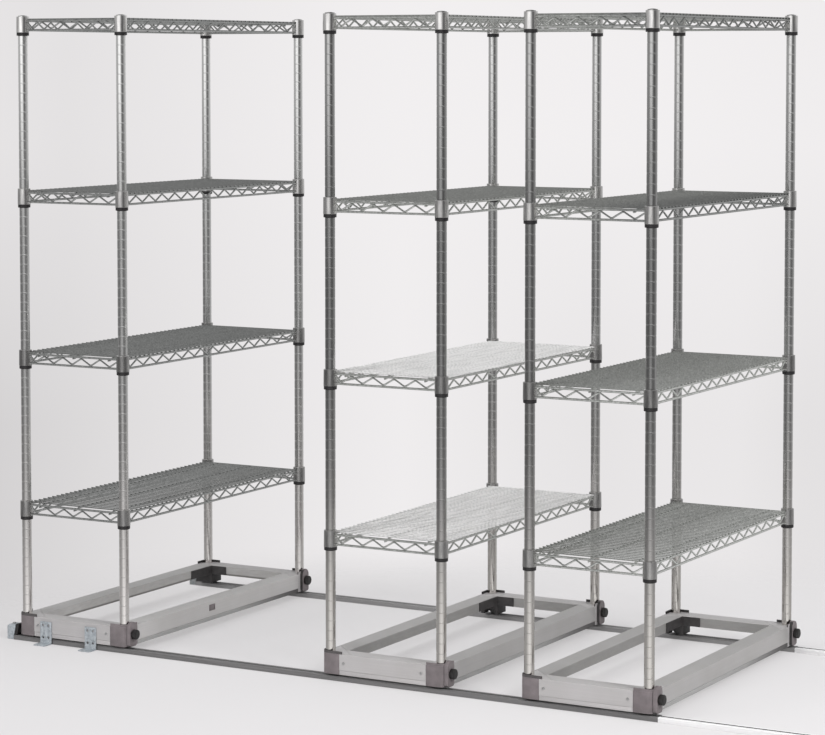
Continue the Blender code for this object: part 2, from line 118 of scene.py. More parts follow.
def leave_outwards():
    """Turns every face outwards, then leaves the mesh."""
    bpy.ops.mesh.select_all(action="SELECT")
    bpy.ops.mesh.normals_make_consistent(inside=False)
    return leave()

def extruded(push, edges=False):
    """Extrudes the selected faces, or just the selected edges."""
    step = bpy.ops.mesh.extrude_edges_move if edges else bpy.ops.mesh.extrude_region_move
    step(TRANSFORM_OT_translate={"value": push})

def sliced(thing, point, away):
    """Cuts off what lies past a plane, and closes the cut."""
    edit(thing)
    bpy.ops.mesh.bisect(plane_co=point, plane_no=away, use_fill=True, clear_outer=True)
    return leave()

def pick(test, kind="FACE"):
    """In edit mode, selects the faces or edges whose middle and direction pass the test, and counts them."""
    bpy.ops.mesh.select_mode(type=kind)
    bpy.ops.mesh.select_all(action="DESELECT")
    shape = bmesh.from_edit_mesh(bpy.context.object.data)
    found = 0
    for item in shape.faces if kind == "FACE" else shape.edges:
        first, second = item.verts[0].co, item.verts[1].co
        middle = item.calc_center_median() if kind == "FACE" else (first + second) / 2
        if test(middle, item.normal if kind == "FACE" else (second - first).normalized()):
            item.select_set(True)
            found += 1
    bmesh.update_edit_mesh(bpy.context.object.data)
    return found

# %% Helpers for modifiers and copies
def modified(thing, kind, **settings):
    """Adds one modifier and applies it."""
    only(thing)
    step = thing.modifiers.new("step", kind)
    for key, value in settings.items():
        setattr(step, key, value)
    bpy.ops.object.modifier_apply(modifier=step.name)
    return thing

def bevelled(thing, width, segments=2, angle=40):
    return modified(thing, "BEVEL", width=width, segments=segments, limit_method="ANGLE",
                    angle_limit=math.radians(angle))

def combined(thing, tool, how="DIFFERENCE"):
    """Cuts the tool out of the piece or welds it on, and throws the tool away."""
    modified(thing, "BOOLEAN", operation=how, solver="EXACT", object=tool)
    drop(tool)
    return thing

def joined(name, parts):
    """Several meshes as one piece."""
    nothing_selected()
    for part in parts:
        part.select_set(True)
    bpy.context.view_layer.objects.active = parts[0]
    bpy.ops.object.join()
    parts[0].name = name
    return parts[0]

def settled(thing, angle=35):
    """Puts the object at the origin with its place in its mesh, and shades it."""
    only(thing)
    bpy.ops.object.transform_apply(location=True, rotation=True, scale=True)
    bpy.ops.object.shade_smooth_by_angle(angle=math.radians(angle))
    return thing

def another(pattern, name, offset=(0, 0, 0), turn=Matrix.Identity(4)):
    """A copy of a finished pattern with its own mesh, turned and moved to its place."""
    copy = pattern.copy()
    copy.data = pattern.data.copy()
    copy.name = name
    bpy.context.scene.collection.objects.link(copy)
    copy.data.transform(Matrix.Translation(offset) @ turn)
    return copy

def put(thing, finish, body, slot, *stands_for):
    """Gives a piece its material and moving body, and hides the solids it stands for. The slot is not used."""
    kept = [face.material_index for face in thing.data.polygons]
    thing.data.materials.clear()
    for one in finish if isinstance(finish, (list, tuple)) else [finish]:
        thing.data.materials.append(one)
    thing.data.polygons.foreach_set("material_index", kept)
    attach(thing, body)
    if stands_for:
        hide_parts(*stands_for)
    return thing

def drop(*patterns):
    """Throws away the patterns that the copies were made from."""
    for pattern in patterns:
        bpy.data.objects.remove(pattern, do_unlink=True)

# %% [markdown]
# Three kinds of form make up nearly everything here: round turned pieces, straight pieces cut from a plate or an
# extrusion, and bent wire. A turned piece starts as a circle whose rim is extruded and scaled, ring after ring. A
# plate starts as a circle with as many corners as the outline, whose corners are moved into place and extruded.

# %% Helpers for turned pieces and plates
ALONG = {"X": Vector((1, 0, 0)), "Y": Vector((0, 1, 0)), "Z": Vector((0, 0, 1))}
TILT = {"X": (0, math.pi / 2, 0), "Y": (-math.pi / 2, 0, 0), "Z": (0, 0, 0)}

def turned(name, profile, centre=(0, 0, 0), axis="Z", sides=32, ring=False):
    """A round piece from (radius, height) corners. A ring is closed on itself and has a bore."""
    nothing_selected()
    centre = Vector(centre)
    along = ALONG[axis]
    radius, height = profile[0]
    bpy.ops.mesh.primitive_circle_add(
        vertices=sides, radius=radius, fill_type="NOTHING" if ring else "NGON",
        location=centre + along * height, rotation=TILT[axis])
    made = bpy.context.object
    made.name = name
    bpy.ops.object.transform_apply(location=True, rotation=True, scale=True)
    edit(made)
    bpy.ops.mesh.select_mode(type="EDGE" if ring else "FACE")
    bpy.ops.mesh.select_all(action="SELECT")
    for wide, high in profile[1:]:
        extruded(along * (high - height), ring)
        size = [1.0 if abs(share) > 0.5 else wide / radius for share in along]
        bpy.ops.transform.resize(value=size, center_override=centre + along * high)
        radius, height = wide, high
    if ring:
        shape = bmesh.from_edit_mesh(made.data)
        bpy.ops.mesh.select_all(action="DESELECT")
        for edge in shape.edges:
            edge.select_set(edge.is_boundary)
        bmesh.update_edit_mesh(made.data)
        bpy.ops.mesh.bridge_edge_loops()
    return leave_outwards()

def plate(name, outline, axis, low, high):
    """A straight piece: an outline in the two other axes, pushed along the axis."""
    nothing_selected()
    bpy.ops.mesh.primitive_circle_add(vertices=len(outline), radius=0.01, fill_type="NGON", location=(0, 0, 0))
    made = bpy.context.object
    made.name = name
    for vertex, pair in zip(made.data.vertices, outline):
        spot = list(pair)
        spot.insert("XYZ".index(axis), low)
        vertex.co = spot
    edit(made)
    extruded(ALONG[axis] * (high - low))
    return leave_outwards()

def arc(centre, radius, start, stop, steps):
    """Points on an arc, in degrees."""
    turns = [math.radians(start + (stop - start) * i / steps) for i in range(steps + 1)]
    return [(centre[0] + radius * math.cos(turn), centre[1] + radius * math.sin(turn)) for turn in turns]

# %% [markdown]
# Wire is bent rod of one thickness, so a curve with a round bevel is the natural tool. Its points are the centre
# line, each bend is eased by a short arc, and the finished curve is turned into a mesh with capped ends.

# %% Helpers for bent wire
def eased(points, radius, steps=3):
    """The centre line with each corner replaced by a short smooth bend."""
    points = [Vector(p) for p in points]
    route = [points[0]]
    for before, here, after in zip(points, points[1:], points[2:]):
        back, ahead = [
            (end - here).normalized() * min(radius, (end - here).length / 2.1) for end in (before, after)]
        for share in (i / steps for i in range(steps + 1)):
            route.append(here + back * (1 - share) ** 2 + ahead * share ** 2)
    route.append(points[-1])
    return route

def bent_wires(name, routes, diameter, sides=8):
    """Several wires of one thickness as one mesh."""
    line = bpy.data.curves.new(name, "CURVE")
    line.dimensions = "3D"
    line.bevel_depth = diameter / 2
    line.bevel_resolution = sides // 2 - 2
    line.use_fill_caps = True
    for route in routes:
        spline = line.splines.new("POLY")
        spline.points.add(len(route) - 1)
        for point, place in zip(spline.points, route):
            point.co = (*place, 1)
    made = bpy.data.objects.new(name, line)
    bpy.context.scene.collection.objects.link(made)
    only(made)
    bpy.ops.object.convert(target="MESH")
    return bpy.context.object

# %% [markdown]
# Finishes are built from a few small steps that repeat: a noise or cell pattern on the object's own coordinates,
# a ramp that turns the pattern into colours, and a bump. The pattern is stretched along the way the metal was
# drawn or brushed, so that streaks run as they do on the real piece.

# %% Helpers for finishes
WHITE = (1.0, 1.0, 1.0)

def grey(level):
    return (level, level, level)

def finish(name, metallic):
    """A new material with its shader, ready for patterns."""
    made = bpy.data.materials.new(name)
    made.use_nodes = True
    shader_input(made, "Metallic").default_value = metallic
    return made

def node(made, kind, inputs=(), **settings):
    """A node of a material or of the world, with its inputs set or linked."""
    new = made.node_tree.nodes.new(kind)
    for key, value in settings.items():
        setattr(new, key, value)
    for key, value in dict(inputs).items():
        if isinstance(value, bpy.types.NodeSocket):
            made.node_tree.links.new(value, new.inputs[key])
        else:
            new.inputs[key].default_value = value
    return new

def shader_input(made, name):
    return made.node_tree.nodes["Principled BSDF"].inputs[name]

def link(made, output, name):
    made.node_tree.links.new(output, shader_input(made, name))

def object_place(made):
    return node(made, "ShaderNodeTexCoord").outputs["Object"]

def spread(made, stretch):
    """Object coordinates, stretched by a scale in each direction."""
    return node(made, "ShaderNodeMapping", {"Vector": object_place(made), "Scale": stretch}).outputs["Vector"]

def noise(made, stretch, detail=3.0, rough=0.55):
    pattern = node(made, "ShaderNodeTexNoise",
                   {"Vector": spread(made, stretch), "Scale": 1.0, "Detail": detail, "Roughness": rough})
    return pattern.outputs["Fac"]

def tones(made, factor, *stops):
    """A colour ramp from (place, colour) stops."""
    ramp = node(made, "ShaderNodeValToRGB", {"Fac": factor})
    marks = ramp.color_ramp.elements
    for mark, (place, colour) in zip(marks, (stops[0], stops[-1])):
        mark.position, mark.color = place, (*colour, 1)
    for place, colour in stops[1:-1]:
        marks.new(place).color = (*colour, 1)
    return ramp.outputs["Color"]

def between(made, factor, low, high, start=0.0, stop=1.0):
    """Maps a pattern from start..stop to low..high."""
    spreader = node(made, "ShaderNodeMapRange",
                    {"Value": factor, "From Min": start, "From Max": stop, "To Min": low, "To Max": high})
    return spreader.outputs["Result"]

def bumped(made, height, strength, distance):
    bump = node(made, "ShaderNodeBump", {"Height": height, "Strength": strength, "Distance": distance})
    link(made, bump.outputs["Normal"], "Normal")

def blended(made, factor, first, second, how="MIX"):
    """Mixes two colours. The colour sockets of a Mix node are its inputs 6 and 7 and its output 2."""
    first, second = [one if isinstance(one, bpy.types.NodeSocket) else (*one, 1) for one in (first, second)]
    mixer = node(made, "ShaderNodeMix", {0: factor, 6: first, 7: second}, data_type="RGBA", blend_type=how)
    return mixer.outputs[2]

def eased_share(made, factor, low, high):
    """0 below one value and 1 above another, with a smooth change between."""
    return node(made, "ShaderNodeMapRange", {"Value": factor, "From Min": low, "From Max": high},
                interpolation_type="SMOOTHSTEP").outputs["Result"]

def measured_share(made, axis, low, high):
    """0 before one place along an axis and 1 past another."""
    parts = node(made, "ShaderNodeSeparateXYZ", {"Vector": object_place(made)})
    return eased_share(made, parts.outputs[axis], low, high)

def ranged(made, axis, low, high, before, after):
    """One colour before a place along an axis and another one past it."""
    return blended(made, measured_share(made, axis, low, high), before, after)

def colour_of(made):
    """What feeds the colour of a finish so far."""
    return shader_input(made, "Base Color").links[0].from_socket

def overlaid(made, *layers):
    """Multiplies the colour of a finish by further colours."""
    for layer in layers:
        link(made, blended(made, 1.0, colour_of(made), layer, "MULTIPLY"), "Base Color")

def patterned(name, metallic, pattern, dark, light, rough, relief=(), ends=(0.3, 0.7)):
    """A finish from noises. The first gives two tones; roughness and relief take it too, or name their own."""
    made = finish(name, metallic)
    cloud = noise(made, *pattern)
    link(made, tones(made, cloud, (ends[0], dark), (ends[1], light)), "Base Color")
    link(made, between(made, noise(made, *rough[2:]) if rough[2:] else cloud, *rough[:2]), "Roughness")
    if relief:
        bumped(made, noise(made, *relief[2:]) if relief[2:] else cloud, *relief[:2])
    return made

# %% [markdown]
# The posts are zinc plated and polished, so nearly all of their look is the room they mirror. The finish brings
# faint streaks along the post and a slight warmth near the floor. On the rolling units it also carries painted
# reflection: their posts are painted darker towards the top, the front ones more than the rear ones.

# %% Post finish
zinc = patterned("zinc plated post", 1.0, ((260, 260, 4), 3), (0.79, 0.785, 0.78), (0.86, 0.855, 0.85),
                 (0.08, 0.17, (60, 60, 9)), (0.02, 0.0003))
# Painted reflection: on the rolling units the post colour darkens with height, the front posts most, the rear ones
# a little.
upper = ranged(zinc, "Z", 0.12, 0.5, (0.82, 0.82, 0.8), grey(0.58))
painted_reflection_rear = ranged(zinc, "Z", 0.12, 0.5, (0.86, 0.86, 0.84), grey(0.82))
upper = ranged(zinc, "Y", 0.3, 0.6, upper, painted_reflection_rear)
painted_reflection_rolling = ranged(zinc, "X", 0.6, 0.8, WHITE, upper)
overlaid(zinc, painted_reflection_rolling, ranged(zinc, "Z", 0.1, 0.9, (1.0, 0.965, 0.95), WHITE))

# %% [markdown]
# The wires are plated too, but rougher, so each gathers light from all round. Their colour carries painted
# reflection, set unit by unit and shelf by shelf, and the mats of the middle unit's two lower shelves are painted
# almost white. The collars are polished, and painted brighter towards the top as a painted reflection.

# %% Wire and collar finishes
wire = patterned("bright wire", 1.0, ((190, 190, 190), 3), (0.47, 0.48, 0.47), (0.8, 0.81, 0.8),
                 (0.2, 0.36, (700, 700, 700)), (0.08, 0.0003, (900, 900, 900), 2), (0.28, 0.72))
# Painted reflection: the wire colour is set per unit and per shelf, darker on the fixed unit and on the end unit's
# upper shelves.
painted_reflection_by_unit = ranged(wire, "X", 0.6, 0.8, grey(0.78), (1.02, 1.02, 1.0))
painted_reflection_end_unit = ranged(wire, "Z", 0.9, 1.1, (1.24, 1.24, 1.22), grey(0.72))
overlaid(wire, ranged(wire, "X", 1.6, 1.8, painted_reflection_by_unit, painted_reflection_end_unit))
# Painted reflection: the middle unit's two lower mats get this paler, almost white colour.
mat_wire_painted_bright = patterned("mat wire with painted bright reflection", 0.2, ((150, 9, 150), 4, 0.65), (0.55, 0.55, 0.54), (0.88, 0.87, 0.86),
                      (0.32, 0.48), (0.08, 0.0003, (900, 900, 900), 2), (0.25, 0.6))
collar_zinc = patterned("plated collar", 1.0, ((160, 160, 30), 3), (0.42, 0.41, 0.41), (0.62, 0.61, 0.6),
                        (0.08, 0.2, (90, 90, 20)), (0.06, 0.0004))
# Painted reflection: the collars and caps are painted brighter towards the top.
overlaid(collar_zinc, ranged(collar_zinc, "Z", 0.7, 1.25, grey(0.98), grey(1.4)))

# %% [markdown]
# The base rails are satin-anodised aluminium. Brushing lines run along each rail, so the front and the side rails
# need the same finish turned by ninety degrees. Light and shade are painted in unit by unit: the fixed unit's
# right rail is painted brighter, the rolling units' front and rear rails brighter and their rail insides darker,
# and the fixed unit's rail insides get a painted shadow along their lower edge. A grey strip closes the lower
# edge; on the right rails it is painted darker towards the rear as painted shadow.

# %% Rail finishes
def rail_finish(name, stretch, dark, light, *across):
    """Brushed lines one way, a faint cloud over them, and a painted level of light along the tracks."""
    made = patterned(name, 0.35, (stretch, 5), dark, light, (0.36, 0.5), (0.03, 0.0003))
    shade = tones(made, noise(made, (9, 9, 9), 2), (0.3, (0.93, 0.93, 0.92)), (0.7, WHITE))
    steps = [(at, grey(level)) for at, level in across]
    # Painted light and shade: the level along X makes the rails of some units brighter or darker.
    overlaid(made, shade, tones(made, measured_share(made, "X", 0.0, 1.0), *steps))
    return made

rail_along_x = rail_finish("satin rail, front and rear", (3, 300, 300), (0.54, 0.52, 0.52), (0.585, 0.565, 0.565),
                           (0.4, 1.0), (0.9, 1.08))
rail_along_y = rail_finish("satin rail, sides", (300, 3, 300), (0.5, 0.485, 0.48), (0.54, 0.525, 0.52),
                           (0.15, 0.98), (0.4, 1.5), (0.5, 1.5), (0.9, 1.0))
rail_inside = rail_finish("rail inside", (40, 40, 200), (0.52, 0.505, 0.495), (0.59, 0.575, 0.565),
                          (0.4, 1.0), (0.9, 0.65))
# Painted shadow: a darker band along the lower edge of the fixed unit's rail insides.
painted_shadow_low_edge = ranged(rail_inside, "Z", 0.0475, 0.05, (0.45, 0.44, 0.43), WHITE)
overlaid(rail_inside, ranged(rail_inside, "X", 0.4, 0.9, painted_shadow_low_edge, WHITE))
strip_grey = patterned("grey edge strip", 0.0, ((30, 30, 200), 3), (0.34, 0.335, 0.33), (0.4, 0.395, 0.39),
                       (0.42, 0.6), (0.1, 0.0002, (800, 800, 800), 2))
# Painted shadow: the strip darkens towards the rear.
overlaid(strip_grey, ranged(strip_grey, "Y", 0.45, 0.85, WHITE, (0.25, 0.24, 0.24)))

# %% [markdown]
# The castings are powder coated, which leaves a fine grain. Their insides, their undersides and the low lips of
# the left castings are painted near black as painted shade, because little light reaches them. Rubber, sleeve
# plastic and nylon differ in roughness and in black.

# %% Casting, rubber and plastic finishes
GRAIN = ((1500, 1500, 1500), 2)
cast = patterned("powder coated casting", 0.15, ((45, 45, 45), 4), (0.17, 0.148, 0.152), (0.25, 0.218, 0.224),
                 (0.42, 0.62, *GRAIN), (0.22, 0.0003, *GRAIN), (0.25, 0.75))

def painted_shade_finish(name, dark, light):
    dark, light = [(level, level * 0.92, level * 0.92) for level in (dark, light)]
    return patterned(name, 0.1, ((70, 70, 70), 3), dark, light, (0.45, 0.65), (0.2, 0.0003, *GRAIN))

cast_painted_shade = painted_shade_finish("casting inside, painted shade", 0.03, 0.055)
cast_lip_painted_shade = painted_shade_finish("casting lip, painted shade", 0.08, 0.12)
rubber = patterned("black rubber", 0.0, ((120, 120, 120), 3), (0.012, 0.011, 0.011), (0.026, 0.024, 0.024),
                   (0.38, 0.6), (0.15, 0.0002, (1800, 1800, 1800), 2))
sleeve_plastic = patterned("black sleeve plastic", 0.0, ((200, 200, 60), 2), (0.01, 0.009, 0.01),
                           (0.02, 0.018, 0.019), (0.28, 0.42))
nylon = patterned("roller nylon", 0.0, ((80, 300, 80), 3), grey(0.05), grey(0.09), (0.32, 0.5), (0.08, 0.0003))

# %% [markdown]
# Hot-dip galvanising freezes into flat crystals called spangle. Cells of a Voronoi pattern, each with its own
# bluish grey, give that look at once, and a noise softens them.

# %% Galvanised finish
galvanised = finish("galvanised steel", 0.55)
cells = node(galvanised, "ShaderNodeTexVoronoi", {"Vector": spread(galvanised, (190, 190, 190)), "Scale": 1.0})
spangle = node(galvanised, "ShaderNodeSeparateColor", {"Color": cells.outputs["Color"]}).outputs["Red"]
spangle_tone = tones(galvanised, spangle, (0.0, (0.36, 0.4, 0.43)), (0.5, (0.5, 0.54, 0.57)),
                     (1.0, (0.64, 0.68, 0.71)))
smear = between(galvanised, noise(galvanised, (70, 70, 70), 3), 0.0, 0.6)
link(galvanised, blended(galvanised, smear, spangle_tone, (0.52, 0.56, 0.6)), "Base Color")
# Painted shadow: the rear stop block and lug are painted darker.
overlaid(galvanised, ranged(galvanised, "Y", 0.4, 0.8, WHITE, (0.62, 0.6, 0.57)))
link(galvanised, between(galvanised, spangle, 0.34, 0.52), "Roughness")
bumped(galvanised, spangle, 0.08, 0.0003)

# %% Track and screw finishes
def track_finish(name, metallic, dark, light):
    """Lines drawn along the track."""
    return patterned(name, metallic, ((4, 300, 300), 4), dark, light, (0.34, 0.52), (0.08, 0.0003))

track_dark = track_finish("dark track", 0.2, (0.15, 0.146, 0.146), (0.215, 0.21, 0.21))
# Painted light: the rear run is painted paler than the front one.
painted_light_rear = between(track_dark, measured_share(track_dark, "Y", 0.3, 0.6), 0.0, 0.35)
link(track_dark, blended(track_dark, painted_light_rear, colour_of(track_dark), (0.5, 0.49, 0.49)), "Base Color")
track_light = track_finish("light track", 0.0, (0.8, 0.79, 0.79), (0.88, 0.87, 0.87))
screw_steel = patterned("screw steel", 0.9, ((600, 600, 600), 3), grey(0.46), grey(0.62), (0.25, 0.45))
print("finishes made:", len([m for m in bpy.data.materials if m.users == 0]))

# %% [markdown]
# A post is a rolled steel tube with a shallow groove every inch, where a shelf's sleeve clips on. One pitch is
# modelled, an Array modifier repeats it up the post, and the rim is then turned in. A separate cap closes the
# top.

# %% Posts and caps
GROOVE_DEEP = 0.0004
FOOT_DROP = 0.0066
tube = turned("one pitch", [
    (POST_RADIUS, 0), (POST_RADIUS, GROOVE_PITCH - 0.003), (POST_RADIUS - GROOVE_DEEP, GROOVE_PITCH - 0.0023),
    (POST_RADIUS - GROOVE_DEEP, GROOVE_PITCH - 0.0007), (POST_RADIUS, GROOVE_PITCH)],
    centre=(0, 0, POST_FOOT), sides=24)
edit(tube)
pick(lambda m, n: abs(n.z) > 0.9)
bpy.ops.mesh.delete(type="ONLY_FACE")
leave()
modified(tube, "ARRAY", use_relative_offset=False, use_constant_offset=True, count=POST_PITCHES,
         constant_offset_displace=(0, 0, GROOVE_PITCH), use_merge_vertices=True, merge_threshold=0.00005)
POST_TOP = POST_FOOT + GROOVE_PITCH * POST_PITCHES
edit(tube)
pick(lambda m, d: abs(m.z - POST_TOP) < 0.0001 and abs(d.z) < 0.1, "EDGE")
for wide, rise in ((0.97, -0.0001), (0.89, 0.0), (0.875, -0.0012)):
    extruded((0, 0, rise), True)
    bpy.ops.transform.resize(value=(wide, wide, 1), center_override=(0, 0, POST_TOP))
extruded((0, 0, -0.006), True)
bpy.ops.mesh.edge_face_add()
pick(lambda m, d: abs(m.z - POST_FOOT) < 0.0001 and abs(d.z) < 0.1, "EDGE")
extruded((0, 0, -FOOT_DROP), True)
bpy.ops.mesh.edge_face_add()
settled(leave_outwards(), 20)

cap = settled(turned("cap", [
    (0.006, POST_TOP - 0.005), (0.0094, POST_TOP - 0.005), (0.0094, POST_TOP - 0.0004),
    (0.0086, POST_TOP + 0.0004), (0.006, POST_TOP + 0.0011), (0.0028, POST_TOP + 0.0014)], sides=24), 40)
print("post faces:", len(tube.data.polygons), "cap top:", round(max(v.co.z for v in cap.data.vertices), 4))
for unit, unit_x in UNITS.items():
    for corner, signs in CORNERS.items():
        x, y = corner_axis(signs)
        spot = (unit_x + x, y, 0)
        put(another(tube, f"{unit}_{corner}_grooved_post", spot), zinc, BODY_OF_UNIT[unit], "zinc_plated_post",
            f"{unit}_{corner}_post")
        put(another(cap, f"{unit}_{corner}_post_cap", spot), collar_zinc, BODY_OF_UNIT[unit], "zinc_plated_post")
drop(tube, cap)

# %% [markdown]
# A wire shelf is one welded piece. Four collars hold two edge wires a side, one above the other, and a zigzag
# wire is welded between them as a truss. Over the long edges lie 43 cross wires, the mat, and three long wires
# support them from below. The snake shape is a list of corner points, so its pitch can be read straight from the
# photo.

# %% Shelf collars
COLLAR_HEIGHT = 0.042
COLLAR_RADIUS = 0.0172
collar = settled(turned("collar", [
    (0.0134, 0.0006), (0.014, 0), (COLLAR_RADIUS - 0.0005, 0), (COLLAR_RADIUS, 0.0005),
    (COLLAR_RADIUS - 0.0004, COLLAR_HEIGHT - 0.0006), (COLLAR_RADIUS - 0.0009, COLLAR_HEIGHT),
    (0.014, COLLAR_HEIGHT), (0.0134, COLLAR_HEIGHT - 0.0006)], ring=True), 30)
collars = [another(collar, f"{corner} collar", (*corner_axis(signs), 0)) for corner, signs in CORNERS.items()]
drop(collar)

# %% Shelf wires
EDGE_WIRE = 0.006
LOW_WIRE_Z = 0.0065
HIGH_WIRE_Z = 0.031
WIRE_START = 0.0165
SNAKE = 0.0046
SNAKE_LOW = 0.0098
SNAKE_HIGH = 0.0275
SNAKE_PITCH = 0.0605
FIRST_LOW_BEND = 0.033
LONG_SIDES, SHORT_SIDES = (0, POST_SPACING_X), (0, POST_SPACING_Y)
edge_routes = []
for level in (LOW_WIRE_Z, HIGH_WIRE_Z):
    for y in SHORT_SIDES:
        edge_routes.append([(WIRE_START, y, level), (POST_SPACING_X - WIRE_START, y, level)])
    for x in LONG_SIDES:
        edge_routes.append([(x, WIRE_START, level), (x, POST_SPACING_Y - WIRE_START, level)])
edge_wires = bent_wires("edge wires", edge_routes, EDGE_WIRE, 10)

def snake_stations(length):
    """Places and levels of the zigzag's bends between two collars."""
    stations = [(WIRE_START, SNAKE_HIGH - 0.001)]
    place, level, other = FIRST_LOW_BEND, SNAKE_LOW, SNAKE_HIGH
    while place < length - 0.018:
        stations.append((place, level))
        place += SNAKE_PITCH / 2
        level, other = other, level
    before, height = stations[-1]
    share = (length - WIRE_START - before) / (SNAKE_PITCH / 2)
    stations.append((length - WIRE_START, height + (level - height) * min(share, 1)))
    return stations

snakes = [eased([(s, y, z) for s, z in snake_stations(POST_SPACING_X)], 0.005) for y in SHORT_SIDES]
snakes += [eased([(x, s, z) for s, z in snake_stations(POST_SPACING_Y)], 0.005) for x in LONG_SIDES]
snake_wires = bent_wires("zigzag wires", snakes, SNAKE, 8)
print("zigzag bends on a short side:", len(snake_stations(POST_SPACING_X)) - 2)

# %% Shelf mat
MAT_WIRE = 0.0036
MAT_COUNT = 43
MAT_PITCH = 0.02
MAT_START = 0.018
MAT_OVERHANG = 0.0032
MAT_LEVEL = HIGH_WIRE_Z + EDGE_WIRE / 2 + MAT_WIRE / 2 - 0.0004
mat_routes = []
for y in (MAT_START + MAT_PITCH * i for i in range(MAT_COUNT)):
    mat_routes.append([(-MAT_OVERHANG, y, MAT_LEVEL), (POST_SPACING_X + MAT_OVERHANG, y, MAT_LEVEL)])
mat_wires = bent_wires("mat wires", mat_routes, MAT_WIRE, 8)
SUPPORT = 0.0046
support_level = MAT_LEVEL - MAT_WIRE / 2 - SUPPORT / 2 + 0.0004
under = support_level - 0.0052
support_line = [(-0.003, under), (0.007, under), (0.016, support_level), (POST_SPACING_Y - 0.016, support_level),
                (POST_SPACING_Y - 0.007, under), (POST_SPACING_Y + 0.003, under)]
support_routes = [eased([(x, *spot) for spot in support_line], 0.003) for x in (0.045, 0.159, 0.273)]
support_wires = bent_wires("support wires", support_routes, SUPPORT, 8)
shelf_parts = [edge_wires, snake_wires, mat_wires, support_wires, *collars]
for part in shelf_parts:
    part.data.materials.clear()
    part.data.materials.append(collar_zinc if part in collars else mat_wire_painted_bright if part == mat_wires else wire)
shelf = settled(joined("wire shelf", shelf_parts), 40)
print("shelf faces:", len(shelf.data.polygons), "size:", [round(side, 4) for side in shelf.dimensions])

# %% Sleeves
sleeve = settled(turned("sleeve", [
    (0.0131, -0.0086), (0.0158, -0.0086), (0.0165, -0.0078), (0.0166, -0.0008), (0.0161, -0.0002),
    (0.0131, -0.0002)], ring=True), 40)
for unit, unit_x in UNITS.items():
    for i, level in enumerate(SHELF_LEVELS):
        made = another(shelf, f"{unit}_wire_shelf_{i + 1}", (unit_x, 0, level))
        finishes = [slot.material for slot in shelf.material_slots]
        if unit != "middle" or i > 1:
            finishes = [wire if one == mat_wire_painted_bright else one for one in finishes]
        put(made, finishes, BODY_OF_UNIT[unit], "bright_wire", f"{unit}_shelf_{i + 1}")
        for corner, signs in CORNERS.items():
            x, y = corner_axis(signs)
            clip = another(sleeve, f"{unit}_shelf_{i + 1}_{corner}_sleeve", (unit_x + x, y, level))
            put(clip, sleeve_plastic, BODY_OF_UNIT[unit], "black_rubber")
drop(shelf, sleeve)

# %% [markdown]
# A corner casting joins two rails, carries a post and houses a wheel. Its outline is drawn in distances outwards
# from the post axis, so the four corners are one drawing mirrored. The lower half is a square housing with a
# round outer corner, and the upper half is a gusset that ends on a diagonal.

# %% Casting forms
RAIL_OUTSET = 0.017
RAIL_WALL = 0.004
RAIL_TOP = 0.0695
LEG_BOTTOM = RAIL_TOP - 0.026
CASTING_REACH = 0.0345
GUSSET_REACH = 0.075
LIP_REACH = {-1: 0.042, 1: 0.031}
LIP_THICK = 0.0026
LIP_SLOPE = 0.007
HOUSING_TOP = BASE_TOP - 0.032 - 0.0006
TREAD = 0.017
WHEEL_CENTRE_Z = TRACK_HEIGHT + 0.0003 + TREAD
WHEEL_SETBACK = 0.01
LOBE_HALF = 0.017
LOBE_CORNER = 0.008
LOBE_TOP = BASE_TOP + 0.006
LOBE_INSET = 0.005
KNOB_HEIGHT = BASE_BOTTOM + 0.03245
SEAM = 0.0003

def corner_outlines(grow):
    """The upper and the lower outline of a casting, grown by a clearance for the notch it stands in."""
    outer = RAIL_OUTSET + (0.006 if grow else 0)
    corner = [(outer, outer)] if grow else arc((0, 0), RAIL_OUTSET, 90, 0, 10)
    reach = -(CASTING_REACH + grow)
    wall = RAIL_OUTSET - RAIL_WALL - SEAM + grow / 3
    diagonal = GUSSET_REACH - RAIL_OUTSET + grow * math.sqrt(2)
    gusset = [(reach, outer), *corner, (outer, reach), (wall, reach), (wall, -diagonal - wall),
              (-diagonal - wall, wall), (reach, wall)]
    housing = [(reach, outer), *corner, (outer, reach), (reach, reach)]
    return gusset, housing

def corner_block(grow, low, middle, high, signs):
    """The two halves of a casting, or of its notch, at one corner."""
    return [plate("block", [(x * signs[0], y * signs[1]) for x, y in outline], "Z", bottom, top)
            for outline, bottom, top in zip(corner_outlines(grow), (middle, low), (high, middle))]

def box_tool(low, high):
    """A plain box used only to cut."""
    nothing_selected()
    bpy.ops.mesh.primitive_cube_add(
        size=1, location=[(a + b) / 2 for a, b in zip(low, high)], scale=[b - a for a, b in zip(low, high)])
    return bpy.context.object

def lip(signs):
    """The low wall along a casting's two outer edges. On the left castings it runs on and slopes down."""
    inner = RAIL_OUTSET - LIP_THICK
    reach = LIP_REACH[signs[1]] if signs[0] < 0 else CASTING_REACH - 0.001
    outline = [(-reach, RAIL_OUTSET), *arc((0, 0), RAIL_OUTSET, 90, 0, 10), (RAIL_OUTSET, -reach),
               (inner, -reach), *arc((0, 0), inner, 0, 90, 10), (-reach, inner)]
    made = plate("lip", [(x * signs[0], y * signs[1]) for x, y in outline], "Z", RAIL_TOP, BASE_TOP)
    for place in (0, 1) if signs[0] < 0 else ():
        start, away = [0, 0, BASE_TOP], [0, 0, LIP_SLOPE]
        start[place] = -(reach - LIP_SLOPE) * signs[place]
        away[place] = (RAIL_TOP - BASE_TOP) * signs[place]
        sliced(made, start, away)
    return made

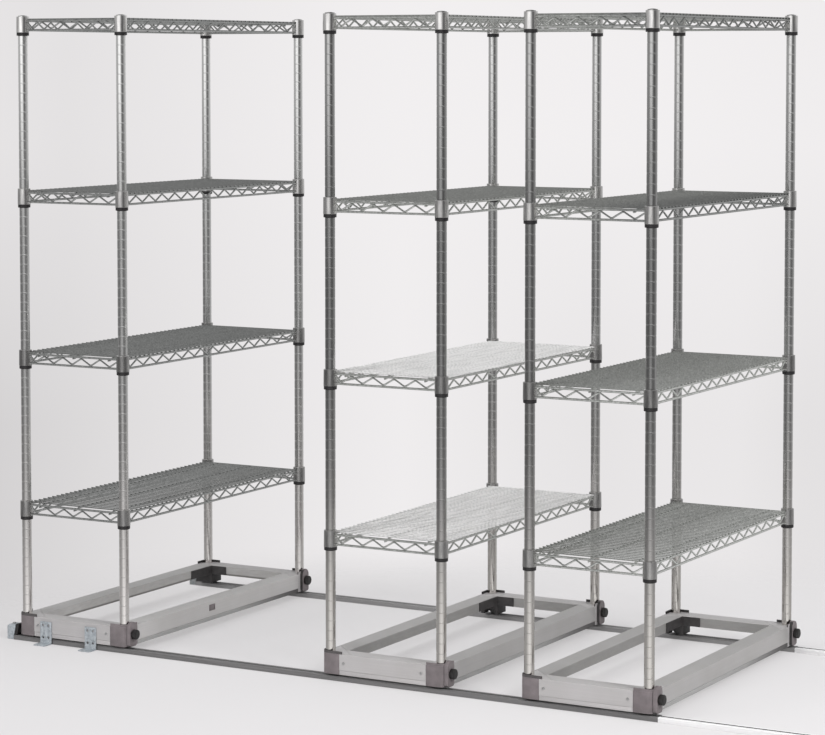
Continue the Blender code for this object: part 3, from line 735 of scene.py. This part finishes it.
def casting(signs, rolling):
    """A corner casting. A rolling one has a wheel pocket with an axle, the other one stands on a foot."""
    gusset, housing = corner_block(0, BASE_BOTTOM, HOUSING_TOP, RAIL_TOP, signs)
    made = bevelled(combined(housing, gusset, "UNION"), 0.0008, 2, 50)
    combined(made, lip(signs), "UNION")
    wheel_x = -signs[0] * WHEEL_SETBACK
    if rolling:
        combined(made, box_tool((wheel_x - 0.022, -0.01, 0.0), (wheel_x + 0.022, 0.01, WHEEL_CENTRE_Z + 0.022)))
        inner = sorted((0.0, -signs[1] * 0.05))
        combined(made, box_tool((wheel_x - 0.016, inner[0], 0.0), (wheel_x + 0.016, inner[1], 0.03)))
        axle = turned("axle", [(0.004, -0.013), (0.004, 0.013)], (wheel_x, 0, WHEEL_CENTRE_Z), "Y", 20)
        combined(made, axle, "UNION")
    else:
        low = (wheel_x - 0.015, -0.008, TRACK_HEIGHT + 0.0003)
        combined(made, box_tool(low, (wheel_x + 0.015, 0.008, BASE_BOTTOM + 0.006)), "UNION")
    if signs[0] > 0:
        y = -signs[1] * LOBE_INSET
        low = BASE_BOTTOM + LOBE_CORNER
        arch = [*arc((y - LOBE_HALF + LOBE_CORNER, low), LOBE_CORNER, 180, 270, 6),
                *arc((y + LOBE_HALF - LOBE_CORNER, low), LOBE_CORNER, 270, 360, 6),
                *arc((y, LOBE_TOP - LOBE_HALF), LOBE_HALF, 0, 180, 20)]
        lobe = bevelled(plate("lobe", arch, "X", RAIL_OUTSET - 0.003, RAIL_OUTSET + 0.008), 0.0012, 2, 50)
        combined(made, lobe, "UNION")
    # Painted shade: lip faces and inward or downward faces take the near-black slots 2 and 3.
    for face in made.data.polygons:
        on_lip = RAIL_TOP + 0.0004 < face.center.z < BASE_TOP + 0.0002 and signs[0] < 0
        on_top = face.normal.z > 0.9 and abs(face.center.z - RAIL_TOP) < 0.0004
        on_end = signs == (1, 1) and face.normal.x > 0.9 and abs(face.center.x - RAIL_OUTSET) < 0.0004
        inside = face.normal.x * signs[0] < -0.5 or face.normal.y * signs[1] < -0.5 or face.normal.z < -0.5
        face.material_index = 2 if on_lip else 1 if on_top or on_end else 3 if inside else 0
    return settled(made, 35)

casting_patterns = {(corner, rolling): casting(signs, rolling)
                    for corner, signs in CORNERS.items() for rolling in (False, True)}
print("casting faces:", {key[0]: len(value.data.polygons) for key, value in casting_patterns.items()})

# %% [markdown]
# Inside each rear-left corner an angle plate joins the left and the rear rail; its near-black colour is painted
# shade. The bumpers are turned rubber knobs, and the wheels are flanged nylon rollers whose thin middle flange
# runs in the groove of the track.

# %% Corner plate, bumpers and wheels
angle_plate = plate("corner plate", [
    (0.085, -0.0331), (0.0331, -0.0331), (0.0331, -0.14), (0.0355, -0.14), (0.0355, -0.0355), (0.085, -0.0355)],
    "Z", LEG_BOTTOM + 0.0005, RAIL_TOP - 0.001)
settled(bevelled(angle_plate, 0.0005, 2), 35)
bumper = settled(turned("bumper", [
    (0.006, 0.0), (0.0122, 0.0), (0.0129, 0.0007), (0.013, 0.01), (0.0124, 0.0117), (0.0108, 0.0127),
    (0.008, 0.013), (0.004, 0.013)], axis="X"), 50)
half = [
    (0.0043, 0.008), (0.008, 0.008), (0.0085, 0.0068), (0.014, 0.0068), (0.0145, 0.008), (TREAD - 0.0008, 0.008),
    (TREAD, 0.0072), (TREAD, 0.0035), (TREAD + 0.0029, 0.0003)]
both = [(wide, -high) for wide, high in half] + half[::-1]
wheel = settled(turned("wheel", both, axis="Y", sides=36, ring=True), 40)

for unit, unit_x in UNITS.items():
    body = BODY_OF_UNIT[unit]
    rolling = unit != "fixed"
    for corner, signs in CORNERS.items():
        x, y = corner_axis(signs)
        made = another(casting_patterns[corner, rolling], f"{unit}_{corner}_corner_casting", (unit_x + x, y, 0))
        # Slots 2 and 3 hold the painted shade of the lips and of the insides.
        look = [cast, rail_along_x, cast_painted_shade if signs[1] > 0 else cast_lip_painted_shade, cast_painted_shade]
        put(made, look, body, "cast_grey", f"{unit}_{corner}_casting")
        if corner == "rear_left":
            # The plate's near-black colour is painted shade.
            put(another(angle_plate, f"{unit}_corner_plate", (unit_x + x, y, 0)), cast_painted_shade, body, "cast_grey")
        if signs[0] > 0:
            spot = (unit_x + x + 0.0253, y - signs[1] * LOBE_INSET, KNOB_HEIGHT)
            put(another(bumper, f"{unit}_{corner}_rubber_knob", spot), rubber, body, "black_rubber",
                f"{unit}_{corner}_bumper")
        if rolling:
            spot = (unit_x + x - signs[0] * WHEEL_SETBACK, y, WHEEL_CENTRE_Z)
            put(another(wheel, f"{unit}_{corner}_flanged_roller", spot), nylon, f"{unit}_{corner}_roller",
                "roller_nylon", f"{unit}_{corner}_wheel")
drop(*casting_patterns.values(), angle_plate, bumper, wheel)

# %% [markdown]
# The base rails are sawn from two aluminium extrusions: a deep one for the front and the right side, which people
# see, and a shallow one for the rear and the left side, so that light falls under it. A section is drawn once in
# distances inwards from the outer face, extruded along each side, mitred at the inner corners by a bisect, and
# notched by the castings with a hairline gap. A strip is clipped along the lower edge of the deep ones.

# %% Base rails
RAIL_WIDTH = 0.05
STRIP_HEIGHT = 0.012
deep_section = [
    (0, RAIL_TOP - 0.001), (0, BASE_BOTTOM + STRIP_HEIGHT), (0.0015, BASE_BOTTOM + STRIP_HEIGHT),
    (0.0015, BASE_BOTTOM), (RAIL_WALL, BASE_BOTTOM), (RAIL_WALL, RAIL_TOP - 0.003),
    (RAIL_WIDTH - 0.003, RAIL_TOP - 0.003), (RAIL_WIDTH - 0.003, LEG_BOTTOM), (RAIL_WIDTH, LEG_BOTTOM),
    (RAIL_WIDTH, RAIL_TOP - 0.001), (RAIL_WIDTH - 0.001, RAIL_TOP), (0.001, RAIL_TOP)]
shallow_section = [(0, RAIL_TOP - 0.001), (0, LEG_BOTTOM), (RAIL_WALL, LEG_BOTTOM), *deep_section[5:]]

def side_line(side):
    """Whether a side runs along X, its sign outwards, the place of its outer face, and the span of its posts."""
    along_x = side in ("front", "rear")
    sign = -1 if side in ("front", "left") else 1
    far, span = (POST_SPACING_Y, POST_SPACING_X) if along_x else (POST_SPACING_X, POST_SPACING_Y)
    return along_x, sign, (far if sign > 0 else 0) + sign * RAIL_OUTSET, span

def rail(name, side):
    """One of the four rails of a unit: front, rear, left or right."""
    along_x, sign, face_line, span = side_line(side)
    section = deep_section if side in ("front", "right") else shallow_section
    outline = [(face_line - sign * inward, z) for inward, z in section]
    made = plate(name, outline, "X" if along_x else "Y", -RAIL_OUTSET, span + RAIL_OUTSET)
    for way in (-1, 1):
        end = (span if way > 0 else 0) + way * RAIL_OUTSET
        if along_x:
            sliced(made, (end, face_line, 0), (way, -sign, 0))
        else:
            sliced(made, (face_line, end, 0), (-sign, way, 0))
    across = 1 if along_x else 0
    for signs in CORNERS.values():
        if signs[across] == sign:
            for tool in corner_block(SEAM, BASE_BOTTOM - 0.006, HOUSING_TOP + SEAM, BASE_TOP + 0.006, signs):
                tool.location = (*corner_axis(signs), 0)
                combined(made, tool)
    leg_face = face_line - sign * RAIL_WIDTH
    for face in made.data.polygons:
        face.material_index = 1 if abs(face.center[across] - leg_face) < 0.0002 else 0
    return settled(made, 30)

def strip(name, side):
    """The strip along a rail's lower edge, between the castings."""
    along_x, sign, face_line, span = side_line(side)
    low, high = BASE_BOTTOM + 0.0002, BASE_BOTTOM + STRIP_HEIGHT - 0.0008
    outline = [(face_line - sign * inward, z)
               for inward, z in ((0.0002, low), (0.0014, low), (0.0014, high), (0.0002, high))]
    gap = CASTING_REACH + 0.0006
    made = plate(name, outline, "X" if along_x else "Y", gap, span - gap)
    return settled(bevelled(made, 0.0003, 2), 40)

SIDES = ("front", "rear", "left", "right")
rail_patterns = {side: rail(f"{side} rail", side) for side in SIDES}
strip_patterns = {side: strip(f"{side} strip", side) for side in ("front", "right")}
for pattern in (*rail_patterns.values(), *strip_patterns.values()):
    print(pattern.name, "faces:", len(pattern.data.polygons))

# %% [markdown]
# Each rail is held to its castings by pan-head screws. A head is a low dome with a cross recess: a turned button,
# and a cross of two bars cut into it.

# %% Screw
SCREW_RADIUS = 0.0036
screw = turned("head", [
    (SCREW_RADIUS, 0), (SCREW_RADIUS, 0.0006), (SCREW_RADIUS * 0.86, 0.0014), (SCREW_RADIUS * 0.55, 0.0019),
    (SCREW_RADIUS * 0.25, 0.0021)], sides=20)
for wide, deep in ((0.62, 0.13), (0.13, 0.62)):
    wide, deep = wide * SCREW_RADIUS, deep * SCREW_RADIUS
    combined(screw, box_tool((-wide, -deep, 0.0011), (wide, deep, 0.004)))
settled(screw, 35)

# %% Place the rails, strips and screws
for unit, unit_x in UNITS.items():
    body = BODY_OF_UNIT[unit]
    for side in SIDES:
        look = [rail_along_x if side in ("front", "rear") else rail_along_y, rail_inside]
        made = another(rail_patterns[side], f"{unit}_{side}_rail", (unit_x, 0, 0))
        put(made, look, body, "anodised_rail", *([f"{unit}_base_rails"] if side == "front" else []))
        if side in strip_patterns:
            made = another(strip_patterns[side], f"{unit}_{side}_strip", (unit_x, 0, 0))
            put(made, rail_along_x if side == "front" else strip_grey, body, "anodised_rail")
    for side, y, z, way in (("front", -RAIL_OUTSET, 0.047, -1), ("rear", POST_SPACING_Y + RAIL_OUTSET, 0.056, 1)):
        turn = Vector((0, 0, 1)).rotation_difference(Vector((0, way, 0))).to_matrix().to_4x4()
        for end, x in (("left", 0.047), ("right", POST_SPACING_X - 0.048)):
            made = another(screw, f"{unit}_{side}_{end}_rail_screw", (unit_x + x, y, z), turn)
            put(made, screw_steel, body, "anodised_rail")
drop(*rail_patterns.values(), *strip_patterns.values(), screw)

# %% [markdown]
# The floor tracks are flat extrusions with a groove that guides the wheel flanges. Under the units they look
# dark, and past the last unit a lighter length runs on to the end lug.

# %% Tracks
TRACK_HALF = 0.015
GROOVE_HALF = 0.004
TRACK_JOINT = 1.86
TRACK_RIGHT = 2.44
TRACK_LEFT = -0.07
track_outline = [
    (-TRACK_HALF, 0), (TRACK_HALF, 0), (TRACK_HALF, 0.01), (TRACK_HALF - 0.002, TRACK_HEIGHT),
    (GROOVE_HALF + 0.0004, TRACK_HEIGHT), (GROOVE_HALF, TRACK_HEIGHT - 0.0004), (GROOVE_HALF, 0.006),
    (-GROOVE_HALF, 0.006), (-GROOVE_HALF, TRACK_HEIGHT - 0.0004), (-GROOVE_HALF - 0.0004, TRACK_HEIGHT),
    (0.002 - TRACK_HALF, TRACK_HEIGHT), (-TRACK_HALF, 0.01)]
dark_run = settled(plate("dark run", track_outline, "X", TRACK_LEFT + 0.034, TRACK_JOINT - 0.0002), 30)
light_run = settled(plate("light run", track_outline, "X", TRACK_JOINT + 0.0002, TRACK_RIGHT), 30)
# Painted shade: the groove's walls and floor get the black rubber colour.
for face in light_run.data.polygons:
    in_groove = abs(face.center.y) < GROOVE_HALF + 0.0001 and 0.0055 < face.center.z < TRACK_HEIGHT - 0.0003
    face.material_index = 1 if in_groove and abs(face.normal.x) < 0.5 else 0
lug_outline = [
    (TRACK_RIGHT - 0.012, 0.003), (TRACK_RIGHT, 0.003), (TRACK_RIGHT, 0.032),
    *arc((TRACK_RIGHT - 0.008, 0.032), 0.008, 0, 90, 8), (TRACK_RIGHT - 0.012, 0.04)]
lug = settled(bevelled(plate("lug", lug_outline, "Y", -0.013, 0.013), 0.001, 2), 35)

# %% End stops
pad_face = -RAIL_OUTSET - 0.002
heel = pad_face - 0.007
stop_low = TRACK_HEIGHT + 0.0003
stop_high = stop_low + 0.028
pad = plate("pad", [
    (heel - 0.009, stop_low + 0.0005), (heel, stop_low + 0.0005), (pad_face, stop_high + 0.003),
    (pad_face - 0.009, stop_high + 0.003)], "Y", -0.0145, 0.0145)
settled(bevelled(pad, 0.0015, 3), 40)
stop_back = pad_face - 0.038
stop_block = plate("stop block", [
    (stop_back, 0.0005), (TRACK_LEFT + 0.0335, 0.0005), (TRACK_LEFT + 0.0335, stop_low), (heel - 0.0095, stop_low),
    (heel - 0.004, stop_high - 0.004), (heel - 0.006, stop_high), (stop_back + 0.005, stop_high),
    (stop_back, stop_high - 0.005)], "Y", -0.015, 0.015)
settled(bevelled(stop_block, 0.0008, 2), 35)
bolt = turned("bolt", [
    (0.0052, stop_high - 0.002), (0.0052, stop_high + 0.0001), (0.0045, stop_high + 0.0028),
    (0.003, stop_high + 0.0034)], (stop_back + 0.012, 0, 0), "Z", 6)
settled(bevelled(bolt, 0.0003, 2), 40)

for side, y in (("front", 0), ("rear", POST_SPACING_Y)):
    for pattern, name, look, slot, *stands_for in (
            (dark_run, "dark_track_run", track_dark, "track_grey", f"{side}_track"),
            (light_run, "light_track_run", [track_light, rubber], "track_grey"),
            (lug, "track_end_lug", galvanised, "galvanised_steel"),
            (stop_block, "stop_block", galvanised, "galvanised_steel", f"{side}_end_stop"),
            (pad, "stop_pad", rubber, "black_rubber"),
            (bolt, "stop_bolt", screw_steel, "galvanised_steel")):
        put(another(pattern, f"{side}_{name}", (0, y, 0)), look, "tracks", slot, *stands_for)
drop(dark_run, light_run, lug, pad, stop_block, bolt)

# %% [markdown]
# Two galvanised angle brackets hold the fixed unit to the floor. Each is a strip bent once, with four holes in
# the upright leg. The outline of the bend is extruded across its width, the holes are drilled with a Boolean,
# and the corners are rounded.

# %% Floor brackets
bend = [(-0.0003, 0.0), (-0.0003, 0.06), (-0.0033, 0.06), (-0.0033, 0.005),
        *arc((-0.0053, 0.005), 0.002, 0, -90, 5)[1:], (-0.0333, 0.003), (-0.0333, 0.0), (-0.005, 0.0)]
bracket = plate("bracket", bend, "X", -0.018, 0.018)
for x in (-0.00875, 0.00875):
    for z in (0.018, 0.05):
        drill = turned("drill", [(0.0035, -0.01), (0.0035, 0.004)], (x, 0, z), "Y", 20)
        combined(bracket, drill)
settled(bevelled(bracket, 0.0004, 2), 35)
for name, x in (("left", 0.075), ("right", 0.221)):
    made = another(bracket, f"{name}_angle_bracket", (x, -RAIL_OUTSET, 0))
    put(made, galvanised, "tracks", "galvanised_steel", f"{name}_floor_bracket")
drop(bracket)

# %% [markdown]
# On the fixed unit's right rail sits a small dark plate. On the real one it may be a label; here it is a plain
# pressed badge with a raised border and nothing on it.

# %% Blank badge
badge_x = POST_SPACING_X + RAIL_OUTSET + 0.0001
badge = plate("badge", [(0.377, 0.0445), (0.405, 0.0445), (0.405, 0.0615), (0.377, 0.0615)], "X", badge_x,
              badge_x + 0.0012)
bevelled(badge, 0.0004, 2)
edit(badge)
pick(lambda m, n: n.x > 0.9)
bpy.ops.mesh.inset(thickness=0.003)
extruded((-0.0006, 0, 0))
leave()
put(settled(badge, 35), cast, "tracks", "cast_grey")
print("badge:", [round(side, 4) for side in badge.dimensions])

# %% [markdown]
# The stage is a pale floor round the shelving that fades into a pale world, so that no horizon shows. The
# background colour is set on the camera rays alone, so it adds no light. The floor keeps a soft shadow, because a
# part of it stays plain diffuse white. Metal doesn't mirror the floor but the room that the world gives it.

# %% Stage
WARM_WHITE = (1.0, 0.978, 0.985)
FLOOR_LEVELS = ((0.0, 0.7), (0.25, 0.7), (0.45, 0.73), (0.65, 0.8), (0.85, 0.85), (1.0, 0.85))

def tinted(stops, tint):
    """Levels of brightness as colours for a ramp."""
    return [(place, [level * share for share in tint]) for place, level in stops]

nothing_selected()
bpy.ops.mesh.primitive_plane_add(size=14, location=(1.2, 0.4, -0.0005))
floor = bpy.context.object
floor.name = "studio_floor"
bpy.ops.object.transform_apply(location=True, rotation=True, scale=True)
floor.visible_glossy = False
pale = bpy.data.materials.new("pale floor")
pale.use_nodes = True
pale.node_tree.nodes.clear()
place = object_place(pale)
across = node(pale, "ShaderNodeSeparateXYZ", {0: place}).outputs["X"]
# Painted light: the floor's glow is darker to the left and brighter to the right.
painted_floor_light = tones(pale, between(pale, across, 0.0, 1.0, -1.0, 3.0), *tinted(FLOOR_LEVELS, WARM_WHITE))
glow = node(pale, "ShaderNodeEmission", {"Color": painted_floor_light})
matte = node(pale, "ShaderNodeBsdfDiffuse", {"Color": (0.74, 0.727, 0.732, 1)})
rays = node(pale, "ShaderNodeLightPath").outputs["Is Camera Ray"]
seen = node(pale, "ShaderNodeMath", {0: rays, 1: 0.5}, operation="MULTIPLY").outputs[0]
near = node(pale, "ShaderNodeMixShader", {0: seen, 1: matte.outputs[0], 2: glow.outputs[0]})
away = node(pale, "ShaderNodeVectorMath", {0: place, 1: (1.6, -0.3, 0)}, operation="DISTANCE").outputs["Value"]
fade = eased_share(pale, away, 1.5, 2.6)
clear = node(pale, "ShaderNodeBsdfTransparent")
whole = node(pale, "ShaderNodeMixShader", {0: fade, 1: near.outputs[0], 2: clear.outputs[0]})
node(pale, "ShaderNodeOutputMaterial", {0: whole.outputs[0]})
floor.data.materials.append(pale)
print("floor side:", round(floor.dimensions.x, 1), "m")

# %% [markdown]
# Polished posts show the room as long vertical bands, so the room is drawn for the shiny rays alone. Four rings
# lie one above the other: the ground, a dim wall with a faint window, a band of lamps and the ceiling. Each ring
# is a ramp round the compass. Soft rays get an even pale grey, and the camera sees the backdrop.

# %% World
world = bpy.data.worlds.new("studio")
bpy.context.scene.world = world
world.use_nodes = True
world.node_tree.nodes.clear()
ray = node(world, "ShaderNodeSeparateXYZ", {0: node(world, "ShaderNodeTexCoord").outputs["Generated"]})
minus = node(world, "ShaderNodeMath", {0: ray.outputs["Y"], 1: -1.0}, operation="MULTIPLY")
turn = node(world, "ShaderNodeMath", {0: ray.outputs["X"], 1: minus.outputs[0]}, operation="ARCTAN2")
compass = between(world, turn.outputs[0], 0.0, 1.0, -math.pi, math.pi)

def ring(*stops, tint=WHITE):
    """Brightness round the compass, in degrees from the front towards the right."""
    return tones(world, compass, *tinted([((angle + 180) / 360, level) for angle, level in stops], tint))

def by_height(low, high, below, above):
    """One ring below a height of the room and another above it, by the ray's own slope."""
    return blended(world, between(world, ray.outputs["Z"], 0.0, 1.0, low, high), below, above)

lamps = ring((-180, 0.6), (-110, 0.4), (-62, 0.36), (-38, 0.48), (-20, 1.0), (14, 1.0), (28, 0.6), (44, 0.22),
             (64, 0.08), (88, 0.22), (120, 0.36), (150, 0.54), (180, 0.6))
wall = ring((-180, 0.36), (-110, 0.22), (-60, 0.12), (-30, 0.1), (-5, 0.2), (18, 0.31), (38, 0.24), (54, 0.13),
            (76, 0.11), (92, 0.16), (118, 0.23), (145, 0.38), (180, 0.36))
ground = ring((-180, 0.36), (-70, 0.34), (-38, 0.36), (-8, 0.6), (16, 0.8), (45, 0.84), (66, 0.72), (90, 0.46),
              (118, 0.38), (180, 0.36))
ceiling = ring((-180, 0.14), (-110, 0.3), (-78, 0.36), (-45, 0.2), (0, 0.17), (45, 0.17), (85, 0.45), (112, 0.5),
               (150, 0.25), (180, 0.14))
room = by_height(-0.2, -0.15, ground, wall)
room = by_height(-0.045, -0.008, room, lamps)
room = by_height(0.2, 0.32, room, ceiling)

# %% Backdrop and what each ray sees
# Painted light on the backdrop: brighter in the middle of the view, darker to the left, darkest low on the left.
backdrop = ring((-180, 0.82), (-159, 0.87), (-156, 0.885), (-150, 0.885), (-147, 0.84), (-143.4, 0.775),
                (-141, 0.8), (180, 0.82), tint=WARM_WHITE)
backdrop_low = ring((-180, 0.8), (-159, 0.77), (-157.1, 0.83), (-154.4, 0.79), (-150.5, 0.865), (-147.2, 0.8),
                    (-145.3, 0.76), (-143.4, 0.7), (-142, 0.66), (-135, 0.66), (-100, 0.79), (180, 0.8),
                    tint=WARM_WHITE)
mirrored = node(world, "ShaderNodeBackground", {"Color": room, "Strength": 1.3})
soft = node(world, "ShaderNodeBackground", {"Color": (0.85, 0.86, 0.88, 1), "Strength": 0.55})
plain = node(world, "ShaderNodeBackground", {"Color": by_height(-0.13, -0.03, backdrop_low, backdrop)})
kind = node(world, "ShaderNodeLightPath")
shiny = node(world, "ShaderNodeMixShader", {
    0: kind.outputs["Is Glossy Ray"], 1: soft.outputs[0], 2: mirrored.outputs[0]})
final = node(world, "ShaderNodeMixShader", {
    0: kind.outputs["Is Camera Ray"], 1: shiny.outputs[0], 2: plain.outputs[0]})
node(world, "ShaderNodeOutputWorld", {0: final.outputs[0]})
print("world nodes:", len(world.node_tree.nodes))

# %% Lights
def area_light(name, place, aim, size, power):
    bpy.ops.object.light_add(type="AREA", location=place)
    lamp = bpy.context.object
    lamp.name = name
    lamp.data.shape = "RECTANGLE"
    lamp.data.size, lamp.data.size_y = size
    lamp.data.energy = power
    lamp.rotation_euler = (Vector(aim) - Vector(place)).to_track_quat("-Z", "Y").to_euler()
    lamp.visible_glossy = False

area_light("key light", (-1.5, -5.5, 4.2), (1.0, 0.3, 0.7), (3.0, 2.5), 190)
area_light("top light", (1.0, 0.5, 5.0), (1.0, 0.4, 0.5), (4.0, 3.0), 75)
area_light("right fill", (6.5, -1.5, 4.0), (1.3, 0.4, 0.3), (1.6, 1.6), 230)
